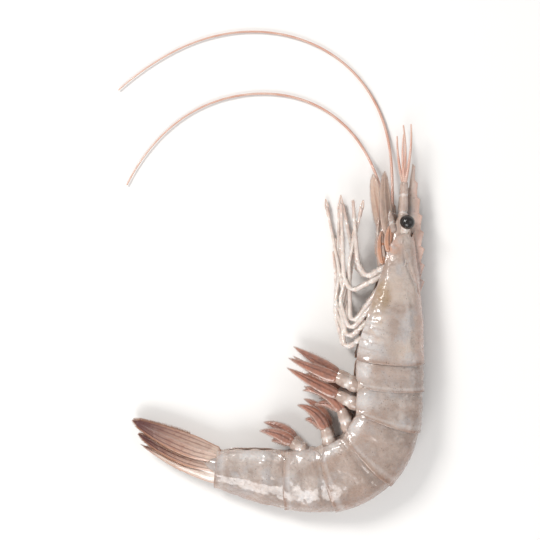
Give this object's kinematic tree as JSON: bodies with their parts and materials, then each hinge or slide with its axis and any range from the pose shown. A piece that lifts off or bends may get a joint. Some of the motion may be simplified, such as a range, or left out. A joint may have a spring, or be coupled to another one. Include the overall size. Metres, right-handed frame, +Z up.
{
  "type": "raw tiger prawn",
  "caption": "Raw head-on prawn lying on its right flank and bent round its belly, with toothed rostrum, long antennae, folded legs, swimming legs and half-closed tail fan.",
  "frame": {"origin": "bottom centre of the bounding box, on the surface that the prawn lies on", "axes": "+Y forwards along the head and +X from the belly to the back at the carapace; +Z up, out of the left flank"},
  "size_m": [0.0858, 0.1346, 0.0149],
  "materials": {
    "shell": "wet, slightly see-through grey-beige shell with faint darker bands and fine dark specks, a pinkish tint along the back of the head and orange-brown edges at the tail",
    "limb": "wet, pale, nearly see-through walking legs, jaw legs and antennule stalks",
    "swimming_leg": "wet orange-pink swimming legs with a darker groove and pale tips",
    "tail": "wet ribbed tail blades, pale at the root and dark red-purple at the tips, with a fine fringe",
    "feeler": "satin orange-pink antennae with fine rings",
    "eye": "glossy near-black eye"
  },
  "bodies": {
    "root": {"prawn": "shell"}
  },
  "joints": []
}
